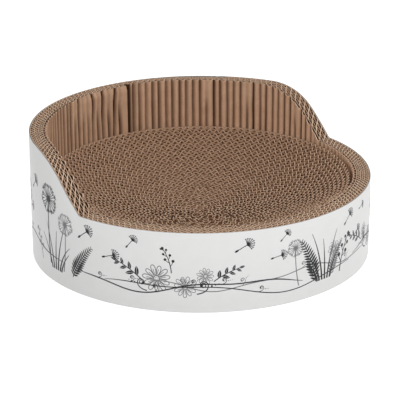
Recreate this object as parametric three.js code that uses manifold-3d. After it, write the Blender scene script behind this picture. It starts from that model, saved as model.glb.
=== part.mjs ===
// Round cat scratcher: a nest of wound corrugated board whose rim rises into a backrest, a printed board
// wrap round it, a base board under it, and a wound scratch pad, pressed to a bowl, that lifts out.
// Millimetres and degrees, +Z up. The origin is the middle of the underside, and the low front faces -Y.

import * as THREE from "three";
import { mergeVertices } from "three/addons/utils/BufferGeometryUtils.js";
import Module from "manifold-3d";

const wasm = await Module();
wasm.setup();

// Overall sizes
const outerDiameter = 430;
const backHeight = 161;
const frontHeight = 101;

// Board and paper
const boardThickness = 4.65; // single-wall board with a coarse flute
const fluteLength = 9.27; // from one flute to the next
const glueLine = 0.5; // between two turns of a winding
const boardLength = 1300; // longest strip that a winding is joined from
const buttGap = 1; // between the ends of two strips
const wrapThickness = 1.2;
const baseThickness = 2;
const seatGap = 0.3; // between glued or resting pieces

// Backrest ring
const backrestTurns = 4;
const backrestInnerEnd = 77; // where the winding's inner end shows on the inside of the backrest
const backrestClimb = 40; // stretch in which each turn climbs over the one before
const backrestSteps = 36; // straight steps in a turn
const ribDepth = 3.6; // of the grooves between the bare flutes on the inside of the backrest
const pressedFlutes = 9; // flutes at the inner end that are pressed to panels
const creases = [2, 4, 6, 9]; // pressed flutes that still have their groove, between the panels

// Scratch pad
const padDrop = 5; // from the front rim down to the pad's edge
const padDepth = 52; // from the pad's edge down to its middle
const padCurve = 2.4; // power of the bowl's curve: flat in the middle, steep at the edge
const padClearance = 1; // round the pad, so that it lifts out
const coreHole = 6; // least radius that the board is rolled to
const padOuterEnd = 304; // where the winding's outer end leaves a wedge-shaped gap at the rim
const padClimb = 75;
const padSteps = 24;
const coreRadius = 50; // turns inside this radius have half as many steps

// Wrap
const wrapSteps = 120;
const lapLength = 25; // glued overlap of the wrap's two ends
const lapJoggle = 8; // stretch in which the tucked end steps in
const lapSetback = 6; // from the backrest's outer end to the joggle

// Saw cut over the nest, seen from the side: level front, slope, rounded shoulder, level back
const cutFoot = -19.7; // Y where the slope leaves the front rim
const cutSlope = 45;
const cutRounding = 90; // radius of the shoulder
const sawTrim = 6; // height that the saw takes off the wound blank
const shoulderSegments = 10;

// Sizes that follow
const outerRadius = outerDiameter / 2;
const fullTurn = 2 * Math.PI;
const radians = THREE.MathUtils.degToRad;
const { clamp, lerp, smoothstep } = THREE.MathUtils;
const pitch = boardThickness + glueLine;
const wrapInside = outerRadius - wrapThickness;
const chordLoss = wrapInside * (1 - Math.cos(Math.PI / wrapSteps)); // flats of the wrap lie this far in
const backrestOutside = wrapInside - chordLoss - seatGap;
const backrestInside = backrestOutside - backrestTurns * pitch + glueLine;
const boreRadius = backrestInside * Math.cos(Math.PI / backrestSteps); // to the flats of the inner turn
const padOutside = boreRadius - padClearance;
const padTurns = Math.floor((padOutside - coreHole) / pitch);
const padInside = padOutside - padTurns * pitch + glueLine;
const floorOfNest = baseThickness + seatGap;
const padTop = frontHeight - padDrop;
const padHeight = padTop - padDepth - floorOfNest; // of its strips: the middle stands on the base board
const blankHeight = backHeight + sawTrim;
const tuckedInside = wrapInside - seatGap - wrapThickness;
const baseRadius = tuckedInside - seatGap;

// Materials
const kraft = { color: 0x9a7558, roughness: 0.95, metalness: 0 };
const padKraft = { color: 0x8d6a50, roughness: 0.95, metalness: 0 };
const whiteBoard = { color: 0xe9e9e8, roughness: 0.45, metalness: 0 };
const greyBoard = { color: 0x8f8477, roughness: 0.9, metalness: 0 };

function namedMesh(name, geometry, finish) {
  const mesh = new THREE.Mesh(geometry, new THREE.MeshStandardMaterial(finish));
  mesh.name = name;
  return mesh;
}

// Solids for cutting, and back to geometry
function solidFrom(geometry) {
  const bare = geometry.clone();
  bare.deleteAttribute("normal");
  bare.deleteAttribute("uv");
  const merged = mergeVertices(bare, 1e-4);
  return new wasm.Manifold(
    new wasm.Mesh({
      numProp: 3,
      vertProperties: new Float32Array(merged.attributes.position.array),
      triVerts: new Uint32Array(merged.index.array),
    }),
  );
}

function geometryFrom(solid) {
  const mesh = solid.getMesh();
  const geometry = new THREE.BufferGeometry();
  geometry.setAttribute("position", new THREE.BufferAttribute(mesh.vertProperties, 3));
  geometry.setIndex(new THREE.BufferAttribute(mesh.triVerts, 1));
  return geometry;
}

// A place along a strip: its inner and its outer face seen from above, each with a bottom and a top edge.
function stationAt(angle, inside, thickness, edgesAt) {
  const outward = new THREE.Vector2(Math.cos(angle), Math.sin(angle));
  const faceAt = (radius) => ({ point: outward.clone().multiplyScalar(radius), ...edgesAt(radius) });
  return { inner: faceAt(inside), outer: faceAt(inside + thickness) };
}

function faceBetween(before, after, share) {
  return {
    point: before.point.clone().lerp(after.point, share),
    bottom: lerp(before.bottom, after.bottom, share),
    top: lerp(before.top, after.top, share),
  };
}

function stationBetween(before, after, share) {
  return {
    run: lerp(before.run, after.run, share),
    inner: faceBetween(before.inner, after.inner, share),
    outer: faceBetween(before.outer, after.outer, share),
  };
}

function stationAlong(stations, run) {
  const next = Math.max(1, stations.findIndex((station) => station.run >= run));
  const before = stations[next - 1];
  const after = stations[next];
  return stationBetween(before, after, (run - before.run) / (after.run - before.run));
}

// A strip of board standing on edge.
function stripGeometry(stations) {
  const positions = [];
  for (const { inner, outer } of stations) {
    positions.push(...inner.point, inner.bottom, ...outer.point, outer.bottom);
    positions.push(...outer.point, outer.top, ...inner.point, inner.top);
  }
  const corners = positions.length / (3 * stations.length);
  const last = corners * (stations.length - 1);
  const index = [0, 1, 2, 0, 2, 3];
  index.push(last, last + 2, last + 1, last, last + 3, last + 2);
  for (let here = 0; here < last; here += corners) {
    for (let corner = 0; corner < corners; corner++) {
      const a = here + corner;
      const b = here + ((corner + 1) % corners);
      index.push(a, a + corners, b + corners, a, b + corners, b);
    }
  }
  const geometry = new THREE.BufferGeometry();
  geometry.setAttribute("position", new THREE.Float32BufferAttribute(positions, 3));
  geometry.setIndex(index);
  return geometry;
}

// The inner face of a winding: every turn is round, and at its end climbs one pitch to pass over itself.
function insideAt(winding, turned) {
  const turn = Math.floor(turned / fullTurn);
  const climbed = smoothstep(turned - turn * fullTurn, fullTurn - winding.climb, fullTurn);
  return winding.inside + pitch * (turn + climbed);
}

// All stations of a winding. It ends before its last climb, so that its outside is round.
function windingStations(winding) {
  const total = winding.turns * fullTurn - winding.climb;
  const step = fullTurn / winding.steps;
  const turns = [];
  for (let count = 0; count * step < total - step / 8; count++) {
    const coarse = insideAt(winding, count * step) < coreRadius;
    if (coarse && count % 2) continue;
    turns.push(count * step);
  }
  turns.push(total);
  const stations = turns.map((turned) => {
    const inside = insideAt(winding, turned);
    return { turned, ...stationAt(winding.start + turned, inside, boardThickness, winding.edgesAt) };
  });
  stations.forEach((station, i) => {
    const before = stations[Math.max(0, i - 1)];
    station.run = (before.run ?? 0) + station.inner.point.distanceTo(before.inner.point);
  });
  return stations;
}

// The grooves between the bare flutes of the first turn, where the backrest stands above the front rim.
function ribGrooves(stations) {
  const turnEnd = stations.find(({ turned }) => turned > fullTurn - 1e-6).run;
  const grooves = [];
  for (let flute = 1; (flute + 0.25) * fluteLength < turnEnd; flute++) {
    const groove = (flute - 0.25) * fluteLength;
    const flat = flute <= pressedFlutes && !creases.includes(flute);
    if (!flat && stationAlong(stations, groove).inner.point.y > cutFoot) grooves.push(groove);
  }
  return grooves;
}

// The same winding with the grooves in its inner face.
function ribbed(stations) {
  const grooves = ribGrooves(stations);
  const half = fluteLength / 2;
  const places = grooves.flatMap((groove) => [groove - half, groove, groove + half]);
  const added = places.map((run) => stationAlong(stations, run));
  const all = [...stations, ...added].sort((a, b) => a.run - b.run);
  const apart = all.filter(({ run }, i) => i === 0 || run - all[i - 1].run > seatGap);
  for (const { run, inner } of apart) {
    const away = Math.min(...grooves.map((groove) => Math.abs(run - groove)));
    inner.point.setLength(inner.point.length() + ribDepth * Math.max(0, 1 - away / half));
  }
  return apart;
}

// Strips of equal length that follow each other along a winding, end to end.
function windingStrips(stations) {
  const total = stations.at(-1).run;
  const count = Math.ceil(total / boardLength);
  const strips = [];
  for (let strip = 0; strip < count; strip++) {
    const first = strip === 0;
    const last = strip === count - 1;
    const from = (strip * total) / count + (first ? 0 : buttGap / 2);
    const to = ((strip + 1) * total) / count - (last ? 0 : buttGap / 2);
    const between = stations.filter(({ run }) => run > from + buttGap && run < to - buttGap);
    const start = first ? stations[0] : stationAlong(stations, from);
    const end = last ? stations.at(-1) : stationAlong(stations, to);
    strips.push(stripGeometry([start, ...between, end]));
  }
  return strips;
}

// The least gap between a turn and the next, from points along each flat of the outer one.
function leastGap(winding) {
  const stations = windingStations(winding);
  const samples = 8;
  let least = Infinity;
  for (let i = 1; i < stations.length; i++) {
    const under = stations[i].turned - fullTurn;
    const near = stations.findIndex(({ turned }) => turned >= under - 1e-6);
    if (near < 1) continue;
    const from = stations[near - 1].outer.point;
    const along = stations[near].outer.point.clone().sub(from);
    for (let sample = 0; sample <= samples; sample++) {
      const spot = stationBetween(stations[i - 1], stations[i], sample / samples).inner.point;
      const share = clamp(spot.clone().sub(from).dot(along) / along.lengthSq(), 0, 1);
      least = Math.min(least, spot.distanceTo(from.clone().addScaledVector(along, share)));
    }
  }
  return least;
}

// What the saw takes away: everything above the side profile, right across the nest.
function sawCut() {
  const reach = outerRadius + sawTrim;
  const above = backHeight + 2 * sawTrim;
  const rise = backHeight - frontHeight;
  const slope = radians(cutSlope);
  const rounding = Math.min(cutRounding, rise / (1 - Math.cos(slope)));
  const straightRise = rise - rounding * (1 - Math.cos(slope));
  const shoulderStart = cutFoot + straightRise / Math.tan(slope);
  const shoulderEnd = shoulderStart + rounding * Math.sin(slope);
  const profile = new THREE.Shape();
  profile.moveTo(-reach, frontHeight);
  profile.lineTo(cutFoot, frontHeight);
  profile.absarc(shoulderEnd, backHeight - rounding, rounding, Math.PI / 2 + slope, Math.PI / 2, true);
  profile.lineTo(reach, backHeight);
  profile.lineTo(reach, above);
  profile.lineTo(-reach, above);
  profile.closePath();
  const prism = new THREE.ExtrudeGeometry(profile, {
    depth: 2 * reach,
    bevelEnabled: false,
    curveSegments: shoulderSegments,
  });
  const across = new THREE.Matrix4().makeBasis(
    new THREE.Vector3(0, 1, 0),
    new THREE.Vector3(0, 0, 1),
    new THREE.Vector3(1, 0, 0),
  );
  prism.applyMatrix4(across).translate(-reach, 0, 0);
  return solidFrom(prism);
}

function sawn(geometry) {
  return geometryFrom(solidFrom(geometry).subtract(sawCut()));
}

// The top and bottom edge of the pad's strips at a radius: the turns are slid past each other to a bowl.
function bowlEdges(radius) {
  const share = clamp((radius - padInside - boardThickness / 2) / ((padTurns - 1) * pitch), 0, 1);
  const top = padTop - padDepth * (1 - share ** padCurve);
  return { bottom: top - padHeight, top };
}

// The wrap runs once round the backrest and tucks its end under its start,
// where the outermost turn ends and leaves room.
function wrapGeometry() {
  const backrestOuterEnd = radians(backrestInnerEnd - backrestClimb);
  const joggle = lapJoggle / outerRadius;
  const start = backrestOuterEnd + lapSetback / outerRadius + joggle;
  const total = fullTurn + lapLength / outerRadius;
  const step = fullTurn / wrapSteps;
  const turns = [0];
  for (let angle = Math.ceil(start / step) * step; angle < start + total; angle += step) {
    const turned = angle - start;
    if (turned > 1e-3 && turned < total - 1e-3) turns.push(turned);
  }
  turns.push(fullTurn - joggle, fullTurn, total);
  turns.sort((a, b) => a - b);
  const stations = turns.map((turned) => {
    const tucked = smoothstep(turned, fullTurn - joggle, fullTurn);
    const inside = lerp(wrapInside, tuckedInside, tucked);
    return stationAt(start + turned, inside, wrapThickness, () => ({ bottom: 0, top: blankHeight }));
  });
  return stripGeometry(stations);
}

function baseGeometry() {
  const disc = new THREE.CylinderGeometry(baseRadius, baseRadius, baseThickness, wrapSteps);
  return disc.rotateX(Math.PI / 2).translate(0, 0, baseThickness / 2);
}

const backrestWinding = {
  start: radians(backrestInnerEnd),
  inside: backrestInside,
  turns: backrestTurns,
  climb: radians(backrestClimb),
  steps: backrestSteps,
  edgesAt: () => ({ bottom: floorOfNest, top: blankHeight }),
};

const padWinding = {
  start: radians(padOuterEnd + padClimb),
  inside: padInside,
  turns: padTurns,
  climb: radians(padClimb),
  steps: padSteps,
  edgesAt: bowlEdges,
};

// The nest, which stands on the floor
const nest = new THREE.Group();
nest.add(namedMesh("base_board", baseGeometry(), greyBoard));
nest.add(namedMesh("outer_wrap", sawn(wrapGeometry()), whiteBoard));
windingStrips(ribbed(windingStations(backrestWinding))).forEach((geometry, i) => {
  nest.add(namedMesh(`backrest_strip_${i + 1}`, sawn(geometry), kraft));
});

// The scratch pad, wound from the core outwards
const pad = new THREE.Group();
windingStrips(windingStations(padWinding)).forEach((geometry, i) => {
  pad.add(namedMesh(`pad_strip_${String(i + 1).padStart(2, "0")}`, geometry, padKraft));
});

console.log(`least gap in the backrest winding ${leastGap(backrestWinding).toFixed(2)} mm`);
console.log(`least gap in the pad winding ${leastGap(padWinding).toFixed(2)} mm`);

const scratcher = new THREE.Group();
scratcher.add(nest, pad);

export default scratcher;
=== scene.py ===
import math
import bpy
import numpy as np
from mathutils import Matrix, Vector


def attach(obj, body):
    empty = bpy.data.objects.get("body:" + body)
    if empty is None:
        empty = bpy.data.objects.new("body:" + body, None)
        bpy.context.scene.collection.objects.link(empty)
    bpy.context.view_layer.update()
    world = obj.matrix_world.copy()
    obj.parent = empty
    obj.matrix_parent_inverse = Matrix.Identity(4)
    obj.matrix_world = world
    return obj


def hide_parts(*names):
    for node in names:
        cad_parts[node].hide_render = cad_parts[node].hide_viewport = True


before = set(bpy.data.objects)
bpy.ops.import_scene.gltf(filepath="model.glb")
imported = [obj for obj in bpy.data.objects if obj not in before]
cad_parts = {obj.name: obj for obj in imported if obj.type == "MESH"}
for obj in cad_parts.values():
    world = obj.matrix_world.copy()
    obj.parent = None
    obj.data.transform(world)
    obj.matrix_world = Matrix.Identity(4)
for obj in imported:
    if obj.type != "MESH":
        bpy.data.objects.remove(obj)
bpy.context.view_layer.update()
scene = bpy.context.scene
scene.view_settings.view_transform = "Standard"
mm = 0.001
fullTurn = 2 * math.pi
levelFront = -100  # millimetres, in front of this the wrap is sawn level


def meshPoints(mesh):
    points = np.empty(len(mesh.vertices) * 3)
    mesh.vertices.foreach_get("co", points)
    return points.reshape(-1, 3)


# sizes that the frame already holds, in millimetres
def nodePoints(name):
    return meshPoints(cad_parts[name].data) / mm


def nodeRadii(name):
    points = nodePoints(name)
    radii = np.hypot(points[:, 0], points[:, 1])
    return radii.min(), radii.max()


padNodes = sorted(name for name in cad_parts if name.startswith("pad_strip_"))
backNodes = sorted(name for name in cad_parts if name.startswith("backrest_strip_"))
wrapPoints = nodePoints("outer_wrap")
wrapOutside = nodeRadii("outer_wrap")[1]
backHeight = wrapPoints[:, 2].max()
frontHeight = wrapPoints[wrapPoints[:, 1] < levelFront, 2].max()
nestFloor = nodePoints(backNodes[0])[:, 2].min()
print("frame read:", len(padNodes), "pad strips,", len(backNodes), "backrest strips")

# camera as fitted to the photograph, millimetres and degrees
cameraSet = {
    "place": (-1528.0, -1682.1, 921.4),
    "aim": (0, 0, 60),
    "lens": 171.55,
    "sensor": 36,
    "roll": -0.21,
    "shift": (-0.0016, 0.00235),
    "clipEnd": 50,  # metres
}


def makeCamera():
    place, aim = (Vector(cameraSet[key]) * mm for key in ("place", "aim"))
    bpy.ops.object.camera_add(location=place)
    camera = bpy.context.active_object
    camera.rotation_euler = (aim - place).to_track_quat("-Z", "Y").to_euler()
    camera.rotation_euler.rotate_axis("Z", math.radians(cameraSet["roll"]))
    camera.data.lens = cameraSet["lens"]
    camera.data.sensor_width = cameraSet["sensor"]
    camera.data.shift_x, camera.data.shift_y = cameraSet["shift"]
    camera.data.clip_end = cameraSet["clipEnd"]
    scene.camera = camera


makeCamera()
viewAngle = math.degrees(math.atan2(cameraSet["place"][1], cameraSet["place"][0]))
print("camera set")


# a node with its settings, and its inputs by name or number: a socket to link or a plain value
def addNode(tree, kind, inputs=None, **settings):
    node = tree.nodes.new("ShaderNode" + kind)
    for name, value in settings.items():
        setattr(node, name, value)
    for key, value in (inputs or {}).items():
        if isinstance(value, bpy.types.NodeSocket):
            tree.links.new(value, node.inputs[key])
        else:
            node.inputs[key].default_value = value
    return node


def addMath(tree, operation, *values):
    return addNode(tree, "Math", dict(enumerate(values)), operation=operation).outputs[0]


# soft studio light; angles are counted to the right of the camera, as seen from above, lengths in metres
lightSet = {
    "key": {"right": 12, "height": 45, "distance": 2.4, "size": 1.0, "power": 18},
    "fill": {"right": 88, "height": 14, "distance": 2.6, "size": 1.4, "power": 6},
    "sky": 0.58,
}
floorSet = {"size": 30, "drop": 0.0002, "grey": 0.8, "glow": 0.7}
white = (1, 1, 1, 1)


def makeLight(name):
    light = lightSet[name]
    turn = math.radians(viewAngle + light["right"])
    rise = math.radians(light["height"])
    way = Vector((math.cos(turn) * math.cos(rise), math.sin(turn) * math.cos(rise), math.sin(rise)))
    bpy.ops.object.light_add(type="AREA", location=way * light["distance"])
    lamp = bpy.context.active_object
    lamp.name = name + "_light"
    lamp.rotation_euler = (-way).to_track_quat("-Z", "Y").to_euler()
    lamp.data.shape = "DISK"
    lamp.data.size = light["size"]
    lamp.data.energy = light["power"]


# 1 for rays that come from the camera, from a gloss or through glass, 0 for the rest
def seenDirectly(tree):
    path = addNode(tree, "LightPath").outputs
    seen = path["Is Camera Ray"]
    for other in ("Is Glossy Ray", "Is Transmission Ray"):
        seen = addMath(tree, "MAXIMUM", seen, path[other])
    return seen


def makeSky():
    world = bpy.data.worlds.new("studio")
    scene.world = world
    world.use_nodes = True
    tree = world.node_tree
    sky = tree.nodes["Background"]
    sky.inputs["Color"].default_value = white
    sky.inputs["Strength"].default_value = lightSet["sky"]
    backdrop = addNode(tree, "Background", {"Color": white, "Strength": 1})
    sides = {1: sky.outputs[0], 2: backdrop.outputs[0]}
    pick = addNode(tree, "MixShader", {"Fac": seenDirectly(tree), **sides})
    tree.links.new(pick.outputs[0], tree.nodes["World Output"].inputs["Surface"])


def makeFloor():
    bpy.ops.object.select_all(action="DESELECT")
    bpy.ops.mesh.primitive_plane_add(size=floorSet["size"], location=(0, 0, -floorSet["drop"]))
    floor = bpy.context.active_object
    floor.name = "floor"
    paint = bpy.data.materials.new("floor_paint")
    paint.use_nodes = True
    tree = paint.node_tree
    tree.nodes.remove(tree.nodes["Principled BSDF"])
    matt = addNode(tree, "BsdfDiffuse", {"Color": (floorSet["grey"],) * 3 + (1,)})
    level = addMath(tree, "MULTIPLY", seenDirectly(tree), floorSet["glow"])
    glow = addNode(tree, "Emission", {"Strength": level})
    both = addNode(tree, "AddShader", {0: matt.outputs[0], 1: glow.outputs[0]})
    tree.links.new(both.outputs[0], tree.nodes["Material Output"].inputs["Surface"])
    floor.data.materials.append(paint)


makeLight("key")
makeLight("fill")
makeSky()
makeFloor()
print("studio set")

# paper and board: dark and light colour as on screen, 0 to 255, then specks, roughness and relief
paperSet = {
    "liner": ((150, 113, 84), (178, 139, 108), 0.35, 0.92, 0.25),
    # fluting, dark partly in its own tone and partly as painted shade of the cells
    "medium": ((100, 70, 50), (126, 91, 68), 0.4, 0.95, 0.3),
    "hollow": ((184, 144, 115), (212, 173, 144), 0.4, 0.95, 0.3),
    # fluting of the ring, dark partly in its own tone and partly as painted shade of the cells
    "ringMediumAndShade": ((104, 74, 53), (132, 97, 72), 0.4, 0.95, 0.3),
    "ringHollow": ((150, 112, 86), (178, 139, 110), 0.4, 0.95, 0.3),
    # painted shade: a near-black sheet behind the ribs, seen only down the cut cells
    "paintedShadeBehindRibs": ((46, 31, 21), (64, 44, 31), 0.3, 0.95, 0.3),
    "cut": ((222, 185, 157), (252, 221, 193), 0.15, 0.95, 0.5),
    "scuffed": ((184, 150, 124), (219, 189, 163), 0.2, 0.95, 0.5),
    "linerEdge": ((136, 102, 77), (170, 132, 104), 0.3, 0.95, 0.5),
    "inner": ((194, 155, 125), (220, 182, 153), 0.3, 0.9, 0.2),
    "base": ((126, 118, 108), (150, 142, 131), 0.5, 0.9, 0.3),
    "back": ((142, 134, 124), (164, 156, 146), 0.4, 0.9, 0.3),
    "core": ((168, 166, 163), (205, 203, 200), 0.2, 0.9, 0.4),
}
# the pulp that all papers share; a noise has its waves to the metre and its detail
pulpSet = {
    "gloss": 0.08,
    "blotches": (85, 5),  # about 12 mm
    "blotchShare": 0.45,
    "fibres": (420, 2400, 1),  # waves along and across the unrolled sheet
    "fibreNoise": (1, 4),
    "fibreShare": 0.55,
    "tones": (0.3, 0.7),  # levels of the pulp that are all dark and all light
    "specks": (1100, 2),
    "speckLevels": (0.62, 0.76),
    "speckTint": (0.3, 0.22, 0.16, 1),
    # tint of the painted shade in grooves, folds and cells
    "paintedShadeTint": (0.1, 0.065, 0.045, 1),
    "reliefDepth": 0.0002,
}
# white coat and inks: colour, roughness, gloss, and how much darker the blotches are
coatSet = {
    "wrap": ((236, 236, 235), 0.42, 0.35, 0.008),
    "black": ((32, 32, 34), 0.5, 0.3, 0.15),
    "grey": ((128, 128, 130), 0.5, 0.3, 0.1),
    "blotches": (60, 6),
    "tones": (0.35, 0.65),
    "roughSpread": 0.06,
    "grain": (900, 2),
    "relief": 0.06,
    "reliefDepth": 0.0001,
}


def screenColour(red, green, blue):
    levels = []
    for value in (red, green, blue):
        share = value / 255
        levels.append(share / 12.92 if share <= 0.04045 else ((share + 0.055) / 1.055) ** 2.4)
    return (*levels, 1)


def newFinish(name):
    finish = bpy.data.materials.new(name)
    finish.use_nodes = True
    return finish, finish.node_tree, finish.node_tree.nodes["Principled BSDF"].inputs


def addRamp(tree, share, places, colours):
    ramp = addNode(tree, "ValToRGB", {"Fac": share})
    for stop, place, colour in zip(ramp.color_ramp.elements, places, colours):
        stop.position = place
        stop.color = colour
    return ramp.outputs["Color"]


def addTint(tree, share, colour, tint):
    inputs = {"Factor": share, "A": colour, "B": tint}
    return addNode(tree, "Mix", inputs, data_type="RGBA", blend_type="MULTIPLY").outputs["Result"]


def addNoise(tree, place, scale, detail):
    return addNode(tree, "TexNoise", {"Vector": place, "Scale": scale, "Detail": detail}).outputs["Fac"]


def addRelief(tree, height, strength, depth):
    inputs = {"Height": height, "Strength": strength, "Distance": depth}
    return addNode(tree, "Bump", inputs).outputs["Normal"]


def paperFinish(name, kind):
    dark, light, speck, rough, relief = paperSet[kind]
    finish, tree, shader = newFinish(name)
    shader["Roughness"].default_value = rough
    shader["Specular IOR Level"].default_value = pulpSet["gloss"]
    place = addNode(tree, "TexCoord").outputs

    # blotches of the pulp, and fibres that lie along the sheet
    cloud = addNoise(tree, place["Object"], *pulpSet["blotches"])
    blotch = addMath(tree, "MULTIPLY", cloud, pulpSet["blotchShare"])
    stretch = addNode(tree, "Mapping", {"Vector": place["UV"], "Scale": pulpSet["fibres"]})
    fibre = addNoise(tree, stretch.outputs[0], *pulpSet["fibreNoise"])
    pulp = addMath(tree, "MULTIPLY_ADD", fibre, pulpSet["fibreShare"], blotch)
    colour = addRamp(tree, pulp, pulpSet["tones"], (screenColour(*dark), screenColour(*light)))

    # dark specks of recycled pulp
    fleck = addNoise(tree, place["Object"], *pulpSet["specks"])
    few = addRamp(tree, fleck, pulpSet["speckLevels"], ((0, 0, 0, 1), (speck,) * 3 + (1,)))
    colour = addTint(tree, few, colour, pulpSet["speckTint"])
    # painted shade: grooves, folds and cells are darkened towards the shade tint
    sunkAndPaintedShade = addNode(tree, "Attribute", attribute_name="sunkAndPaintedShade")
    colour = addTint(tree, sunkAndPaintedShade.outputs["Fac"], colour, pulpSet["paintedShadeTint"])
    tree.links.new(colour, shader["Base Color"])
    tree.links.new(addRelief(tree, pulp, relief, pulpSet["reliefDepth"]), shader["Normal"])
    return finish


def coatedFinish(name, kind):
    colour, rough, gloss, blotch = coatSet[kind]
    finish, tree, shader = newFinish(name)
    shader["Specular IOR Level"].default_value = gloss
    place = addNode(tree, "TexCoord").outputs["Object"]

    # unevenness of the coat, in its tone and its sheen
    cloud = addNoise(tree, place, *coatSet["blotches"])
    dark = screenColour(*(value * (1 - blotch) for value in colour))
    tone = addRamp(tree, cloud, coatSet["tones"], (dark, screenColour(*colour)))
    tree.links.new(tone, shader["Base Color"])
    limits = {"To Min": rough - coatSet["roughSpread"], "To Max": rough + coatSet["roughSpread"]}
    sheen = addNode(tree, "MapRange", {"Value": cloud, **limits})
    tree.links.new(sheen.outputs["Result"], shader["Roughness"])
    grain = addNoise(tree, place, *coatSet["grain"])
    tree.links.new(addRelief(tree, grain, coatSet["relief"], coatSet["reliefDepth"]), shader["Normal"])
    return finish


linerPaper = paperFinish("kraft_liner", "liner")
mediumPaperAndShade = paperFinish("kraft_flutes_and_painted_shade", "medium")
hollowPaper = paperFinish("kraft_inside_flutes", "hollow")
ringMediumAndShade = paperFinish("kraft_ring_flutes_and_painted_shade", "ringMediumAndShade")
ringHollow = paperFinish("kraft_inside_ring", "ringHollow")
paintedShadeBehindRibs = paperFinish("painted_shade_behind_ribs", "paintedShadeBehindRibs")
cutPaper = paperFinish("kraft_cut_edge", "cut")
scuffedPaper = paperFinish("kraft_scuffed_edge", "scuffed")
linerEdge = paperFinish("kraft_liner_edge", "linerEdge")
innerPaper = paperFinish("kraft_backrest_face", "inner")
basePaper = paperFinish("grey_base_board", "base")
wrapBack = paperFinish("grey_wrap_back", "back")
wrapCore = paperFinish("grey_wrap_cut", "core")
wrapCoat = coatedFinish("white_wrap_coat", "wrap")
blackInk = coatedFinish("black_ink", "black")
greyInk = coatedFinish("grey_ink", "grey")
print("finishes ready")

creaseAngle = 35  # degrees, sharper edges aren't shaded smooth


# a flat grid whose vertices are then put where the sheet runs; place gives millimetres
def gridSheet(name, columns, levels, place, size=(1, 1), sunkAndPaintedShade=None):
    bpy.ops.object.select_all(action="DESELECT")
    bpy.ops.mesh.primitive_grid_add(x_subdivisions=columns, y_subdivisions=len(levels) - 1, size=2)
    sheet = bpy.context.active_object
    sheet.name = name
    mesh = sheet.data
    points = meshPoints(mesh)
    along = (points[:, 0] + 1) / 2
    up = np.interp((points[:, 1] + 1) / 2, np.linspace(0, 1, len(levels)), levels)
    mesh.vertices.foreach_set("co", (place(along, up) * mm).ravel())
    corners = np.empty(len(mesh.loops), int)
    mesh.loops.foreach_get("vertex_index", corners)
    flat = np.stack([along * size[0], up * size[1]], 1) * mm  # the unrolled sheet, in metres
    mesh.uv_layers.active.data.foreach_set("uv", flat[corners].ravel())
    # painted shade of each point, kept for the paper finishes
    if sunkAndPaintedShade:
        mesh.attributes.new("sunkAndPaintedShade", "FLOAT", "POINT").data.foreach_set("value", sunkAndPaintedShade(along, up))
    mesh.update()
    return sheet


# wall of the paper; shell and rim say which finishes its other side and its edges take
def thicken(sheet, paper, offset, finishes, shell=1, rim=2):
    for finish in finishes:
        sheet.data.materials.append(finish)
    bpy.context.view_layer.objects.active = sheet
    wall = sheet.modifiers.new("wall", "SOLIDIFY")
    wall.thickness = paper * mm
    wall.offset = offset
    wall.material_offset = shell
    wall.material_offset_rim = rim
    bpy.ops.object.modifier_apply(modifier=wall.name)
    return sheet


def joinAll(objects, name):
    bpy.ops.object.select_all(action="DESELECT")
    for item in objects:
        item.select_set(True)
    bpy.context.view_layer.objects.active = objects[0]
    if len(objects) > 1:
        bpy.ops.object.join()
    piece = bpy.context.active_object
    piece.name = name
    piece.data.name = name
    return piece


def smooth(piece):
    bpy.ops.object.select_all(action="DESELECT")
    piece.select_set(True)
    bpy.context.view_layer.objects.active = piece
    bpy.ops.object.shade_smooth_by_angle(angle=math.radians(creaseAngle))


def smoothstep(value, low, high):
    share = np.clip((value - low) / (high - low), 0, 1)
    return share * share * (3 - 2 * share)


# single-faced corrugated board: a liner outside, bare flutes on the inside
boardSet = {
    "pitch": 5.15,  # from one turn to the next
    "thickness": 5.05,
    "flute": 9.267,
    "fluteColumns": 10,
    "linerColumns": 4,
    "joint": 1.0,  # gap where one strip follows another
    "patternHeight": 100,  # height of every unrolled sheet, for the fibres
    "windingPoints": 80001,
    "frayLength": 1000,  # the ragged edge repeats after this
    "frayPoints": 4096,
}


# how far the inner face has got: every turn is round and climbs one pitch at its end
def makeWinding(startAngle, inside, turns, climbAngle, coreTurns=0):
    climb = math.radians(climbAngle)
    turned = np.linspace(-coreTurns * fullTurn, turns * fullTurn - climb, boardSet["windingPoints"])
    winding = {"start": math.radians(startAngle), "inside": inside, "climb": climb, "turned": turned}
    middle = insideAt(winding, turned) + boardSet["thickness"] / 2
    steps = np.hypot(np.diff(middle), (middle[1:] + middle[:-1]) / 2 * np.diff(turned))
    length = np.concatenate([[0], np.cumsum(steps)])
    winding["length"] = length - np.interp(0, turned, length)
    return winding


def insideAt(winding, turned):
    turn = np.floor(turned / fullTurn + 1e-9)
    climbed = smoothstep(turned - turn * fullTurn, fullTurn - winding["climb"], fullTurn)
    return winding["inside"] + boardSet["pitch"] * (turn + climbed)


def stripEnds(winding, strip, count):
    total = winding["length"][-1]
    begin = strip * total / count + boardSet["joint"] / 2 if strip else winding["length"][0]
    end = (strip + 1) * total / count - (boardSet["joint"] / 2 if strip < count - 1 else 0)
    return begin, end


# one sheet of a strip; edges gives its bottom and top, depth how far into the board it lies
def woundSheet(name, winding, ends, edges, columns, levels, depth, shade, paper, finishes):
    length = ends[1] - ends[0]

    def place(along, up):
        run = ends[0] + along * length
        turned = np.interp(run, winding["length"], winding["turned"])
        angle = winding["start"] + turned
        radius = insideAt(winding, turned) + depth(run, turned, up)
        x, y = radius * np.cos(angle), radius * np.sin(angle)
        bottom, top = edges(run, radius, y)
        return np.stack([x, y, bottom + up * (top - bottom)], 1)

    # painted shade along the strip
    def sunkAndPaintedShade(along, up):
        return shade(ends[0] + along * length, up)

    sheet = gridSheet(name, columns, levels, place, (length, boardSet["patternHeight"]), sunkAndPaintedShade)
    return thicken(sheet, paper, 0, finishes)


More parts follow.
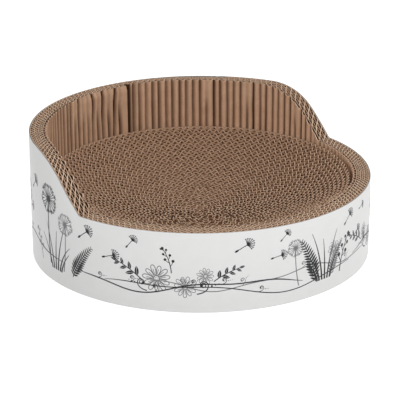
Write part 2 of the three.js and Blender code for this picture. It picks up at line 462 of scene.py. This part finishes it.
def fluteWave(run, lean, shift, flute, peak):  # peak: 1 is a sharp triangle, 0 a sine
    phase = fullTurn * (run / flute + shift)
    phase = phase + lean * np.cos(phase)
    return np.arcsin(peak * np.sin(phase)) / math.asin(peak)


# slow unevenness of hand-wound board; its setting is an amount and a length of wave
def waver(run, setting, seed):
    amount, reach = setting
    total = 0
    for part, weight in ((1.0, 0.5), (0.43, 0.3), (0.19, 0.2)):
        total = total + weight * np.sin(fullTurn * run / (reach * part) + seed * (1.7 + part))
    return amount * total


# ragged height of a cut edge along its run
def makeFray(noise, amount):
    length, points = boardSet["frayLength"], boardSet["frayPoints"]
    heights = noise.normal(0, amount, points)
    return lambda run: np.interp(run % length, np.linspace(0, length, points), heights)


# saw profile of the nest from the side: level front, slope, rounded shoulder, level back
sawSet = {"foot": -19.7, "slope": 45, "rounding": 90}


def sawHeight(y):
    slope = math.radians(sawSet["slope"])
    rise = backHeight - frontHeight
    rounding = min(sawSet["rounding"], rise / (1 - math.cos(slope)))
    straight = (rise - rounding * (1 - math.cos(slope))) / math.tan(slope)
    shoulder = sawSet["foot"] + straight
    level = shoulder + rounding * math.sin(slope)
    onSlope = frontHeight + (y - sawSet["foot"]) * math.tan(slope)
    onShoulder = backHeight - rounding + np.sqrt(np.maximum(0, rounding**2 - (y - level) ** 2))
    high = np.where(y < shoulder, onSlope, np.where(y < level, onShoulder, backHeight))
    return np.where(y < sawSet["foot"], frontHeight, high)


# scratch pad: the turns are slid past each other to a bowl. Lean, swing, linerWave, uneven and bent are
# an amount and a length of wave
padSet = {
    "seed": 7,
    "outerEnd": 304,  # degrees
    "climb": 75,
    "curve": 2.4,  # power of the bowl's profile
    "coreReach": 0.5,  # the solid's points this near the innermost face give the height of the board
    "paper": 0.28,
    "fluting": 1.3,
    "peak": 0.93,
    "ahead": -0.15,  # flutes
    "perTurn": 0.068,  # flutes that each turn is ahead of the even spacing
    "bent": (0.11, 41),  # flutes by which the cut edges are pushed to and fro
    "bentFrom": 0.99,  # share of the height
    "lean": (0.3, 430),
    "swing": (0.04, 37),  # share by which the flutes differ in height
    "linerWave": (0.12, 57),
    "uneven": (0.4, 310),  # how far the turns are slid
    "evenTurns": 2,  # outermost turns without that
    "frayed": 0.3,
    "cellEdge": (0.8, 2.8),  # how far below the edge the painted shade of the cells gets full, in the middle and outside
    "bareCrest": 0.6,  # share of that painted shade that the crests of the flutes are spared
    "bulge": 2.3,  # the turns under the outer end stand out into the gap beside it
    "crushed": 45,
    "loosened": 6,  # turns
}


def makePad():
    inside = nodeRadii(padNodes[0])[0]
    outside = nodeRadii(padNodes[-1])[1]
    turns = round((outside - inside) / boardSet["pitch"])
    padTop = nodePoints(padNodes[-1])[:, 2].max()
    core = nodePoints(padNodes[0])
    core = core[np.hypot(core[:, 0], core[:, 1]) < inside + padSet["coreReach"], 2]
    height, depth = core.max() - core.min(), padTop - core.max()
    start = padSet["outerEnd"] + padSet["climb"]
    winding = makeWinding(start, inside, turns, padSet["climb"], coreTurns=1)
    outerEnd = winding["turned"][-1]
    lastTurn = np.interp(outerEnd - fullTurn, winding["turned"], winding["length"])
    board, paper, fluting = boardSet["thickness"], padSet["paper"], padSet["fluting"]
    swing = (board - paper - fluting) / 2
    noise = np.random.default_rng(padSet["seed"])

    # how far a turn stands out near the outer end; the end itself is crushed by the turn under it
    def standOut(turned):
        past = (turned - outerEnd + math.pi) % fullTurn - math.pi
        under = np.round((outerEnd + past - turned) / fullTurn)
        rise = smoothstep(past, -padSet["crushed"] / outside, 0) - smoothstep(past, 0, winding["climb"])
        outer = np.where(under == 0, 0, np.clip(1 - (under - 1) / padSet["loosened"], 0, 1))
        inner = np.where(under == 0, 1, outer)
        return padSet["bulge"] * rise * inner, padSet["bulge"] * rise * outer

    for strip, node in enumerate(padNodes):
        ends = stripEnds(winding, strip, len(padNodes))
        flutes = (ends[1] - ends[0]) / boardSet["flute"]
        fray = makeFray(noise, padSet["frayed"])
        cellEdge = np.interp((strip / len(padNodes)) ** 0.5, (0, 1), padSet["cellEdge"])

        def edges(run, radius, y):
            share = (radius - inside - board / 2) / ((turns - 1) * boardSet["pitch"])
            top = padTop - depth * (1 - np.clip(share, 0, 1) ** padSet["curve"])
            slid = radius < outside - padSet["evenTurns"] * boardSet["pitch"]
            top = top + waver(run, padSet["uneven"], strip) * slid
            return top - height, top + fray(run)

        def shade(run, up):  # painted shade: the cells get dark below the edge
            return np.minimum(1, np.minimum(up, 1 - up) * height / cellEdge)

        def wave(run, turned, up):
            lean = waver(run, padSet["lean"], strip + 9)
            bent = waver(run, padSet["bent"], strip) * (up > padSet["bentFrom"])
            shift = padSet["ahead"] + padSet["perTurn"] * turned / fullTurn + bent
            return fluteWave(run, lean, shift, boardSet["flute"], padSet["peak"])

        def fluteShade(run, up):  # painted shade, lighter on the bare crests
            crest = 0.5 - 0.5 * wave(run, np.interp(run, winding["length"], winding["turned"]), up)
            return shade(run, up) * (1 - padSet["bareCrest"] * crest)

        def linerShade(run, up):  # painted shade, none on the last turn, which shows its outside
            return shade(run, up) * (run < lastTurn)

        def liner(run, turned, up):
            return board - paper / 2 + waver(run, padSet["linerWave"], strip + 3) + standOut(turned)[1]

        def medium(run, turned, up):
            inner, outer = standOut(turned)
            free = swing * (1 + waver(run, padSet["swing"], strip)) - (inner - outer) / 2
            return (board - paper + inner + outer) / 2 + free * wave(run, turned, up)

        levels = (0, cellEdge / height, 1 - cellEdge / height, 1)
        linerColumns = round(flutes * boardSet["linerColumns"])
        fluteColumns = round(flutes * boardSet["fluteColumns"])
        linerSheet = woundSheet(
            "liner", winding, ends, edges, linerColumns, levels, liner, linerShade,
            paper, (linerPaper, hollowPaper, linerEdge),
        )
        fluteSheet = woundSheet(
            "flutes", winding, ends, edges, fluteColumns, levels, medium, fluteShade,
            fluting, (mediumPaperAndShade, hollowPaper, scuffedPaper),
        )
        piece = joinAll([linerSheet, fluteSheet], "wound_pad_" + node[-2:])
        smooth(piece)
        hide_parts(node)
        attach(piece, "scratch_pad")
    print("pad wound:", turns, "turns, bowl", round(depth, 1), "mm deep, board", round(height, 1), "mm")


makePad()

# backrest ring: the flutes of its first turn lie bare, as ribs on the inside
backSet = {
    "seed": 11,
    "innerEnd": 78.2,  # degrees
    "climb": 40,
    "paper": 0.65,
    "fluting": 1.0,
    "flute": 7.6,  # as the cells of the cut edge are spaced
    "peak": 0.9,
    "shifts": (0, 0, 0.27, 0.39),  # flutes by which each strip is ahead
    "lean": (0.2, 430),
    "linerWave": (0.1, 57),
    "frayed": 0.15,
    "cellEdge": 4.0,  # how far below the edge the painted shade of the cells is darkest
    "cellCurve": 0.8,
    "cellLevels": (1, 0.6, 0.3),  # shares of that depth
    "ribs": 1.0,  # thickness of the bare flutes
    "ribColumns": 12,
    "ribLevels": (0, 0.3, 0.5, 0.56, 0.62, 0.67, 0.72, 0.77, 0.82, 0.86, 0.9, 0.94, 0.965, 0.985, 1),
    "firstGroove": 1.22,  # flutes from the inner end
    "groove": 3.7,
    "ribShape": 1.25,  # above 1 the ribs are wider than the grooves
    "ribLean": 0.42,  # share of a flute that the steep side of a groove takes
    "placeSwing": (0.05, 2.7),  # flutes that a groove is off its place, and how fast that changes
    "depthSwing": (0.1, 1.9),
    "flatRibs": (44.3, 29.1, 7.9, 355.5, 106.3),  # degrees, where two ribs have run together
    "flatDepth": 0.28,
    "besideFlat": 1.3,  # the paper is folded deeper there
    "seamWidth": 9.0,  # slot beside the inner end, darkened with painted shade
    "seamSide": (1.0, 0.88),  # shares of that width, where its far side goes down
    "seamPast": -0.1,  # and where it stops under the inner end
}

# loose paper near the inner end: pressed flat at the top, creased, and ribs again towards the pad.
# Pairs of heights, and the from and to pairs of the stretch with fuller painted flank shade, are where a
# change begins and ends
foldSet = {
    "flutes": 9,
    "reach": 1.15,  # times their length, where the looseness ends
    "height": 160,  # of the whole sheet
    "pressed": 0.3,  # depth of a pressed flute
    "pressedBelow": 0.5,
    "ribsAgain": (144, 114),
    "creases": (2, 4, 6, 9),  # flutes from the inner end
    "crease": 1.4,
    "creaseAbove": 1.35,
    "creaseFade": 0.35,
    "creaseHeights": (140, 110),
    "shadedStretchFrom": (70, 110),  # stretch after the loose part, along the run, where the painted flank shade is fuller
    "shadedStretchTo": (220, 165),
    "bends": (21, 7.3),  # how a fold wanders, coarse and fine
    "fineBend": 0.6,
    "crook": (0.12, 0.35, 1.15),  # how far: everywhere, in the loose part, and more at its top
    "crookHeights": (118, 150),
    "depthBend": (0.08, 33),
    "flankPaintedShade": (0.74, 0.2),  # painted shade on a groove's long side, and more in that stretch
    "shadedStretchFullness": 0.45,  # how much fuller that painted shade is there
    "steep": 0.83,  # painted shade on the steep side
    "steepFrom": 0.55,
    "ripple": 0.07,
    "rippleWaves": (6.1, 19),  # along and up
    "curl": 0.85,  # the loose paper bends back at the top
    "curlReach": 1.3,
    "curlFrom": 0.95,
    # painted shade over the loose paper
    "loosePaintedShade": 0.15,
}


# places and depths of the grooves along the run, and how the folds start to wander
def makeGrooves(noise, winding, length):
    pitch = boardSet["flute"]
    order = np.arange(int(length / pitch) + 2)
    (off, offPace), (uneven, unevenPace) = backSet["placeSwing"], backSet["depthSwing"]
    places = (order + backSet["firstGroove"] + off * np.sin(offPace * order)) * pitch
    depths = 1 + uneven * np.sin(unevenPace * order)
    for flute in range(foldSet["flutes"]):
        depths[flute] = foldSet["crease"] if flute + 1 in foldSet["creases"] else foldSet["pressed"]
    turned = np.interp(places, winding["length"], winding["turned"])
    angles = np.degrees(winding["start"] + turned) % 360
    folded = places < foldSet["flutes"] * pitch
    for flat in backSet["flatRibs"]:
        nearest = np.argmin(np.where(folded, math.inf, np.abs(angles - flat)))
        depths[nearest] = backSet["flatDepth"]
        depths[nearest - 1] = backSet["besideFlat"]
    return places, depths, noise.uniform(0, fullTurn, len(places))


# depth of the grooves and their painted shade, as shares
def grooveAt(run, up, grooves):
    places, depths, phases = grooves
    height = up * foldSet["height"]
    loose = np.clip(foldSet["reach"] - run / (foldSet["flutes"] * boardSet["flute"]), 0, 1) ** 0.5
    shadedStretch = smoothstep(run, *foldSet["shadedStretchFrom"]) * smoothstep(run, *foldSet["shadedStretchTo"])
    stray, looseStray, topStray = foldSet["crook"]
    stray = stray + loose * (looseStray + topStray * smoothstep(height, *foldSet["crookHeights"]))
    coarse, fine = foldSet["bends"]
    sway, swayHeight = foldSet["depthBend"]
    flankShade, stretchShade = foldSet["flankPaintedShade"]
    nearest = np.clip(np.searchsorted(places, run), 1, len(places) - 1)
    deepest, dark = np.zeros_like(run), np.zeros_like(run)
    for side in (nearest - 1, nearest):
        crook = np.sin(height / coarse + phases[side])
        crook = (crook + foldSet["fineBend"] * np.sin(height / fine + 2 * phases[side])) * stray
        past = (run - places[side] - crook) / boardSet["flute"]
        away = np.where(past > 0, past / backSet["ribLean"], past / (backSet["ribLean"] - 1))
        wave = 0.5 + 0.5 * np.cos(math.pi * np.clip(away, 0, 1))
        pressed = smoothstep(height, *foldSet["ribsAgain"]) * (depths[side] < foldSet["pressedBelow"])
        own = depths[side] + (1 - depths[side]) * pressed
        own = own * (1 + sway * np.sin(height / swayHeight + 3 * phases[side]))
        creased = foldSet["creaseFade"] * (depths[side] > foldSet["creaseAbove"])
        own = own * (1 - creased * smoothstep(height, *foldSet["creaseHeights"]))
        deepest = np.maximum(deepest, own * wave ** backSet["ribShape"])
        # painted shade: the long side of a groove darkens, fuller in the stretch, and the steep side near
        # its foot
        flankPaintedShade = (flankShade + stretchShade * shadedStretch) * wave ** (1 - foldSet["shadedStretchFullness"] * shadedStretch)
        steep = foldSet["steep"] * smoothstep(wave, foldSet["steepFrom"], 1)
        dark = np.maximum(dark, own * np.where(past > 0, steep, flankPaintedShade))
    runWave, heightWave = foldSet["rippleWaves"]
    deepest = deepest + foldSet["ripple"] * loose * (1 + np.sin(run / runWave + height / heightWave))
    curled = foldSet["curl"] * np.minimum(1, foldSet["curlReach"] * loose)
    curled = curled * smoothstep(up, foldSet["curlFrom"], 1)
    return np.maximum(deepest, curled), np.clip(dark + foldSet["loosePaintedShade"] * loose, 0, 1)


def makeBackrest():
    inside, outside = nodeRadii(backNodes[0])[0], nodeRadii(backNodes[-1])[1]
    turns = round((outside - inside) / boardSet["pitch"])
    winding = makeWinding(backSet["innerEnd"], inside, turns, backSet["climb"])
    firstTurn = np.interp(fullTurn, winding["turned"], winding["length"])
    board, paper = boardSet["thickness"], backSet["paper"]
    fluting, bare = backSet["fluting"], backSet["ribs"]
    levels = (0, *(1 - share * backSet["cellEdge"] / backHeight for share in backSet["cellLevels"]), 1)
    noise = np.random.default_rng(backSet["seed"])
    for strip, node in enumerate(backNodes):
        ends = stripEnds(winding, strip, len(backNodes))
        flutes = (ends[1] - ends[0]) / boardSet["flute"]
        fray = makeFray(noise, backSet["frayed"])
        grooves = makeGrooves(noise, winding, ends[1])

        def edges(run, radius, y):
            top = sawHeight(y) + fray(run)
            return np.full_like(top, nestFloor), top

        def seamSlot(run):
            beside = (firstTurn - run) / backSet["seamWidth"]
            return smoothstep(beside, *backSet["seamSide"]) * (beside > backSet["seamPast"])

        def ribs(run, turned, up):
            sunkAndPaintedShade = np.minimum(grooveAt(run, up, grooves)[0], 1)
            return bare / 2 + backSet["groove"] * np.maximum(sunkAndPaintedShade, seamSlot(run))

        # painted shade in the grooves, folds and the seam slot
        def ribShade(run, up):
            return np.maximum(grooveAt(run, up, grooves)[1], seamSlot(run))

        def liner(run, turned, up):
            return board - paper / 2 + waver(run, backSet["linerWave"], strip + 3)

        def medium(run, turned, up):
            lean, shift = waver(run, backSet["lean"], strip), backSet["shifts"][strip]
            wave = fluteWave(run, lean, shift, backSet["flute"], backSet["peak"])
            return (board - paper + (board - paper - fluting) * wave) / 2

        # painted shade: the cells get dark below the sawn edge
        def cellShade(run, up):
            return np.minimum(1, (1 - up) * backHeight / backSet["cellEdge"]) ** backSet["cellCurve"]

        columns = round(flutes * boardSet["linerColumns"])
        linerSheet = woundSheet(
            "liner", winding, ends, edges, columns, levels, liner, cellShade,
            paper, (linerPaper, ringHollow, cutPaper),
        )
        if strip == 0:
            columns = round(flutes * backSet["ribColumns"])
            # the back of the ribs takes the painted shade
            fluteSheet = woundSheet(
                "ribs", winding, ends, edges, columns, backSet["ribLevels"], ribs, ribShade,
                bare, (paintedShadeBehindRibs, innerPaper, cutPaper),
            )
        else:
            columns = round(flutes * boardSet["fluteColumns"])
            fluteSheet = woundSheet(
                "flutes", winding, ends, edges, columns, levels, medium, cellShade,
                fluting, (ringMediumAndShade, ringMediumAndShade, cutPaper),
            )
        piece = joinAll([linerSheet, fluteSheet], "wound_back_" + node[-1])
        smooth(piece)
        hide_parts(node)
        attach(piece, "nest")
    print("backrest wound:", turns, "turns")


makeBackrest()

# white wrap: once round, with its end tucked under its start
wrapSet = {
    "thickness": 1.2,
    "lap": 25,
    "joggle": 8,
    "setback": 6,  # from the end of the ring
    "gap": 0.3,
    "columns": 620,
    "worn": 0.25,  # rounding of the edges
    "wornSegments": 2,
    "wornAngle": 50,
}
ringEnd = math.radians(backSet["innerEnd"] - backSet["climb"])
wrapStart = ringEnd + (wrapSet["setback"] + wrapSet["joggle"]) / wrapOutside


def wrapRadius(turned):
    tucked = smoothstep(turned, fullTurn - wrapSet["joggle"] / wrapOutside, fullTurn)
    return wrapOutside - tucked * (wrapSet["thickness"] + wrapSet["gap"])


def makeWrap():
    total = fullTurn + wrapSet["lap"] / wrapOutside

    def place(along, up):
        turned = along * total
        radius = wrapRadius(turned)
        x, y = radius * np.cos(wrapStart + turned), radius * np.sin(wrapStart + turned)
        return np.stack([x, y, up * sawHeight(y)], 1)

    sheet = gridSheet("wrap", wrapSet["columns"], (0, 0.5, 1), place, (total * wrapOutside, backHeight))
    thicken(sheet, wrapSet["thickness"], -1, (wrapCoat, wrapBack, wrapCore))
    worn = sheet.modifiers.new("worn", "BEVEL")
    worn.width = wrapSet["worn"] * mm
    worn.segments = wrapSet["wornSegments"]
    worn.limit_method = "ANGLE"
    worn.angle_limit = math.radians(wrapSet["wornAngle"])
    bpy.ops.object.modifier_apply(modifier=worn.name)
    piece = joinAll([sheet], "board_wrap")
    smooth(piece)
    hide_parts("outer_wrap")
    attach(piece, "nest")
    print("wrap rolled:", len(piece.data.polygons), "faces")


makeWrap()

# print on the wrap: motifs drawn flat once, copied along the unrolled wrap, then rolled on to it.
# Groups hold: motif, place across and up, size, turn, mirrored, ink
printSet = {
    "seed": 3,
    "front": 696.5,  # along the wrap from its start to the side that faces the camera
    "ground": 18,  # height from which a group is scaled
    "film": 0.05,
    "lift": {"grey": 0.04, "black": 0.08},
    "groups": {
        "meadow": (
            ("clock", -12, 22, 1.2, 4, False, "black"),
            ("clock", 14, 20, 0.9, -6, True, "grey"),
            ("tuft", 0, 18, 0.95, 0, False, "black"),
            ("fern", 30, 19, 0.85, -24, True, "black"),
            ("twig", -34, 20, 0.8, 14, False, "grey"),
        ),
        "garland": (
            ("daisy", -22, 42, 1.0, 10, False, "grey"),
            ("daisy", 12, 33, 0.78, 40, False, "grey"),
            ("daisy", 36, 47, 0.6, 0, False, "grey"),
            ("sprig", -40, 38, 0.85, 58, False, "black"),
            ("sprig", 46, 40, 0.75, -62, True, "black"),
            ("twig", -4, 50, 0.75, 10, False, "black"),
            ("curl", 26, 24, 0.8, -8, False, "black"),
            ("curl", -34, 25, 0.7, 8, True, "black"),
        ),
        "thicket": (
            ("fern", -10, 19, 1.05, 10, False, "black"),
            ("fern", 16, 19, 0.8, -16, True, "grey"),
            ("tuft", 4, 18, 1.1, 0, True, "black"),
            ("twig", 34, 19, 1.1, -14, True, "black"),
            ("clock", -36, 20, 0.8, 8, False, "grey"),
            ("daisy", 22, 52, 0.62, 20, False, "grey"),
        ),
    },
    "layout": (  # group, middle, size, mirrored
        ("meadow", -205, 1.12, False),
        ("garland", -30, 1.0, False),
        ("thicket", 160, 1.0, False),
        ("garland", 300, 1.05, True),
        ("thicket", 432, 1.0, True),
        ("meadow", 562, 1.15, True),
        ("thicket", -365, 1.4, True),
        ("garland", -500, 1.3, False),
        ("meadow", -619, 1.3, True),
    ),
    "seeds": (  # along, up, size, turn
        (-150, 82, 1.0, -52), (-112, 62, 0.9, -70), (-84, 84, 0.75, -38), (52, 82, 0.95, -60),
        (96, 64, 0.8, -78), (104, 88, 0.65, -45), (212, 84, 0.9, -50), (236, 58, 0.75, -66),
        (250, 86, 0.65, -80), (358, 80, 0.9, -48), (384, 58, 0.7, -70), (492, 84, 0.9, -55),
        (616, 112, 1.0, -62), (508, 108, 0.75, -40), (-268, 112, 1.05, -48), (-290, 74, 0.8, -72),
        (-318, 124, 0.85, -58), (-430, 118, 1.1, -64), (-446, 78, 0.8, -44), (-556, 122, 0.95, -58),
        (-572, 82, 0.75, -76), (-668, 116, 0.8, -50),
    ),
    "strands": (  # from, to, height, swing, wave, start of the wave, width, ink
        (-165, 130, 31, 7, 250, 0.6, 1.6, "black"),
        (-120, 215, 27, 8, 330, 2.4, 1.25, "black"),
        (-60, 265, 35, 6, 210, 4.0, 1.2, "grey"),
        (225, 420, 30, 7, 240, 1.2, 1.5, "black"),
        (250, 500, 34, 7, 300, 3.1, 1.2, "grey"),
        (470, 628, 33, 8, 260, 0.2, 1.5, "black"),
        (-330, -190, 33, 8, 250, 2.0, 1.5, "black"),
        (-600, -380, 34, 9, 300, 0.9, 1.6, "black"),
        (-570, -330, 30, 8, 260, 3.6, 1.2, "grey"),
    ),
    "strandStep": 4,  # between its points
    "strandTip": 0.5,  # width at its ends
    "strandTaper": 30,
    "tendrils": {"first": 8, "every": 19, "size": 0.42, "turn": 12},  # curls on the strands
}


def inkLine(points, widths):
    points = np.asarray(points, float)
    widths = np.broadcast_to(np.asarray(widths, float), len(points))
    ahead = np.gradient(points, axis=0)
    ahead = ahead / np.hypot(ahead[:, 0], ahead[:, 1])[:, None]
    left = np.stack([-ahead[:, 1], ahead[:, 0]], 1)

    def place(along, up):
        index = np.rint(along * (len(points) - 1)).astype(int)
        spots = points[index] + left[index] * (widths[index] * (up - 0.5))[:, None]
        return np.column_stack([spots, np.zeros(len(spots))])

    return gridSheet("ink", len(points) - 1, (0, 1), place)


def inkDot(across, up, radius, sides=10):
    place = (across * mm, up * mm, 0)
    bpy.ops.object.select_all(action="DESELECT")
    bpy.ops.mesh.primitive_circle_add(vertices=sides, radius=radius * mm, fill_type="NGON", location=place)
    bpy.ops.object.transform_apply(location=True, rotation=False, scale=False)
    return bpy.context.active_object


# a copy with its own mesh, turned and moved in the flat; millimetres and degrees
def inkCopy(shape, across=0, up=0, size=1, turn=0, mirrored=False):
    copy = shape.copy()
    copy.data = shape.data.copy()
    bpy.context.collection.objects.link(copy)
    points = meshPoints(copy.data) * size
    x, y = points[:, 0] * (-1 if mirrored else 1), points[:, 1].copy()
    cosine, sine = math.cos(math.radians(turn)), math.sin(math.radians(turn))
    points[:, 0] = x * cosine - y * sine + across * mm
    points[:, 1] = x * sine + y * cosine + up * mm
    copy.data.vertices.foreach_set("co", points.ravel())
    if mirrored:
        copy.data.flip_normals()
    return copy


# a curved line that starts at a place, in a direction, and bends by an angle along its length
def sweep(start, way, length, bend, count, power=1.0):
    share = (np.arange(count - 1) + 0.5) / (count - 1)
    ways = np.radians(way + bend * share**power)
    steps = np.stack([np.cos(ways), np.sin(ways)], 1) * length / (count - 1)
    return np.concatenate([[start], np.asarray(start) + np.cumsum(steps, 0)])


def heading(line, before, after):
    ahead = line[after] - line[before]
    return math.degrees(math.atan2(ahead[1], ahead[0]))


def leafWidths(count, width):
    share = np.linspace(0, 1, count)
    return 0.25 + width * np.sin(math.pi * share**0.85) ** 0.9


def drawClock():  # dandelion clock
    noise, rays = np.random.default_rng(printSet["seed"]), 23
    ray = [inkLine([(2, 0), (11, 0)], 0.8)]
    ray += [inkLine([(10.8, 0), (14.2, side * 2.1)], 0.75) for side in (-1, 0, 1)]
    ray = joinAll(ray, "ray")
    stem = sweep((0, 0), way=95, length=62, bend=-14, count=14)
    top = stem[-1]
    parts = [inkLine(stem, np.linspace(1.8, 1.3, len(stem))), inkDot(*top, radius=2.9, sides=12)]
    for turn in np.arange(0, 360, 360 / rays):
        parts.append(inkCopy(ray, *top, size=noise.uniform(0.88, 1.08), turn=turn + noise.uniform(-4, 4)))
    bpy.data.objects.remove(ray)
    return joinAll(parts, "clock")


def drawSeed():  # one drifting seed with its parasol
    seed = sweep((0, -14), way=88, length=7, bend=5, count=6)
    stalk = sweep((0.2, -7.5), way=92, length=12, bend=-8, count=5)
    parts = [inkLine(seed, leafWidths(len(seed), 2.5)), inkLine(stalk, 1.0)]
    for lean in np.linspace(-62, 62, 9):
        hair = sweep((0.6, 4), way=90 - lean, length=10 - abs(lean) / 30, bend=-lean * 0.35, count=4)
        parts.append(inkLine(hair, np.linspace(1.15, 0.8, len(hair))))
        parts.append(inkDot(*hair[-1], radius=1.0, sides=6))
    return joinAll(parts, "seed")


def drawLeaf(length, width, vein=0.22, count=8):  # two halves with the vein left white
    half = leafWidths(count, width) / 2
    sides = [np.stack([np.linspace(0, length, count), side * (half / 2 + vein)], 1) for side in (-1, 1)]
    return joinAll([inkLine(line, half) for line in sides], "leaf")


def drawFern():
    pairs, step = 15, 4
    spine = sweep((0, 0), way=88, length=58, bend=26, count=step * pairs)
    blade = sweep((0, 0), way=0, length=10, bend=12, count=6)
    leaf = joinAll([inkLine(blade, leafWidths(len(blade), 2.7))], "leaflet")
    parts = [inkLine(spine, np.linspace(1.5, 0.9, len(spine)))]
    for index in range(pairs):
        at = step * index + step - 1
        way = heading(spine, at - 1, at)
        size = 1.2 * (1 - index / pairs) ** 0.7 * min(1, 0.55 + index / 6) + 0.18
        parts.append(inkCopy(leaf, *spine[at], size, way + 52))
        parts.append(inkCopy(leaf, *spine[at], size, way + 128, mirrored=True))
    bpy.data.objects.remove(leaf)
    return joinAll(parts, "fern")


def drawDaisy():
    petals, dots = 11, 5
    circle = np.linspace(0, fullTurn, 19)
    out = (1 - np.cos(circle)) / 2
    loop = np.stack([4 + 13 * out, 3.3 * np.sin(circle) * (0.5 + 0.5 * out)], 1)
    petal = joinAll([inkLine(loop, 1.0), inkLine([(6, 0.2), (9, 0.5), (12, 0.4)], 0.8)], "petal")
    parts = [inkLine(np.stack([3.4 * np.cos(circle), 3.4 * np.sin(circle)], 1), 1.0)]
    for index in range(petals):
        parts.append(inkCopy(petal, size=0.97 + 0.06 * (index % 2), turn=index * 360 / petals))
    for turn in np.linspace(0, fullTurn, dots + 1)[:-1]:
        parts.append(inkDot(1.7 * math.cos(turn), 1.7 * math.sin(turn), radius=0.6, sides=6))
    bpy.data.objects.remove(petal)
    return joinAll(parts, "daisy")


def drawSprig():
    stem = sweep((0, 0), way=80, length=46, bend=22, count=30)
    leaf = drawLeaf(length=13, width=5)
    parts = [inkLine(stem, np.linspace(1.6, 1.0, len(stem)))]
    for index, at in enumerate(range(6, 29, 4)):
        way = heading(stem, at - 1, at) + (48 if index % 2 else -48)
        parts.append(inkCopy(leaf, *stem[at], 1.05 - 0.07 * index, way))
    parts.append(inkCopy(leaf, *stem[-1], 0.7, heading(stem, -2, -1)))
    bpy.data.objects.remove(leaf)
    return joinAll(parts, "sprig")


def drawTwig():  # berries on side shoots
    stem = sweep((0, 0), way=84, length=44, bend=30, count=24)
    parts = [inkLine(stem, np.linspace(1.6, 1.0, len(stem))), inkDot(*stem[-1], radius=2.4)]
    for index, at in enumerate(range(6, 22, 3)):
        side = 1 if index % 2 else -1
        way = heading(stem, at - 1, at) + side * 55
        shoot = sweep(stem[at], way, length=10 - index, bend=-side * 35, count=6)
        parts += [inkLine(shoot, 1.0), inkDot(*shoot[-1], radius=2.5 - 0.15 * index)]
    return joinAll(parts, "twig")


def drawTuft():  # grass; foot, direction, length and bend of each blade
    blades = (
        (-9, 104, 44, 34), (-5, 98, 56, 18), (-1, 92, 48, -10),
        (3, 86, 60, -22), (7, 80, 40, -40), (10, 74, 30, -30),
    )
    lines = [sweep((foot, 0), way, length, bend, count=12) for foot, way, length, bend in blades]
    return joinAll([inkLine(line, np.linspace(2.6, 0.5, len(line))) for line in lines], "tuft")


def drawCurl():
    line = sweep((0, 0), way=20, length=66, bend=640, count=44, power=2.0)
    parts = [inkLine(line, np.linspace(1.8, 1.2, len(line))), inkDot(*line[-1], radius=2.4)]
    for index in range(3):
        parts.append(inkDot(20 + 5 * index, 16 + 2.2 * index, radius=1.5 - 0.3 * index, sides=8))
    return joinAll(parts, "curl")


def drawStrand(begin, end, height, swing, wave, start, width):
    x = np.linspace(begin, end, int((end - begin) / printSet["strandStep"]))
    turn = fullTurn * x / wave + start
    z = height + swing * np.sin(turn) + 0.35 * swing * np.sin(2.3 * turn + 1)
    edge = np.clip(np.minimum(x - begin, end - x) / printSet["strandTaper"], 0, 1)
    return np.stack([x, z], 1), printSet["strandTip"] + (width - printSet["strandTip"]) * edge


# bends the flat print round the wrap, and gives its least distance to the sawn edge
def rollOn(piece, lift):
    flat = meshPoints(piece.data) / mm
    turned = flat[:, 0] / wrapOutside
    angle, radius = wrapStart + turned, wrapRadius(turned) + lift
    rolled = np.stack([radius * np.cos(angle), radius * np.sin(angle), flat[:, 1]], 1)
    piece.data.vertices.foreach_set("co", (rolled * mm).ravel())
    piece.data.update()
    return (sawHeight(rolled[:, 1]) - rolled[:, 2]).min()


def makePrint():
    motifs = {
        "clock": drawClock(),
        "seed": drawSeed(),
        "fern": drawFern(),
        "daisy": drawDaisy(),
        "sprig": drawSprig(),
        "twig": drawTwig(),
        "tuft": drawTuft(),
        "curl": drawCurl(),
    }
    front, ground, tendrils = printSet["front"], printSet["ground"], printSet["tendrils"]
    inks = {"black": [], "grey": []}
    for group, middle, size, mirrored in printSet["layout"]:
        side = -1 if mirrored else 1
        for motif, across, up, own, turn, flipped, ink in printSet["groups"][group]:
            place = front + middle + side * across * size
            height = ground + (up - ground) * size
            flip = flipped != mirrored
            inks[ink].append(inkCopy(motifs[motif], place, height, own * size, side * turn, flip))
    for along, up, size, turn in printSet["seeds"]:
        inks["black"].append(inkCopy(motifs["seed"], front + along, up, size, turn))
    for *course, ink in printSet["strands"]:
        points, widths = drawStrand(*course)
        inks[ink].append(inkLine(points + (front, 0), widths))
        spots = range(tendrils["first"], len(points) - tendrils["first"], tendrils["every"])
        for count, at in enumerate(spots):
            turn = tendrils["turn"] if count % 2 else -tendrils["turn"]
            turn = heading(points, at - 1, at + 1) + turn
            inks[ink].append(inkCopy(motifs["curl"], *(points[at] + (front, 0)), tendrils["size"], turn))
    for shape in motifs.values():
        bpy.data.objects.remove(shape)
    for ink, finish in (("black", blackInk), ("grey", greyInk)):
        piece = joinAll(inks[ink], "ink_" + ink)
        spare = rollOn(piece, printSet["lift"][ink])
        thicken(piece, printSet["film"], -1, (finish,), shell=0, rim=0)
        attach(piece, "nest")
        faces = len(piece.data.polygons)
        print("printed", ink, faces, "faces, least distance to the edge", round(spare, 1), "mm")


makePrint()

# base board keeps its solid and gets grey board
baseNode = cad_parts["base_board"]
baseNode.data.materials.clear()
baseNode.data.materials.append(basePaper)
print("base board finished")
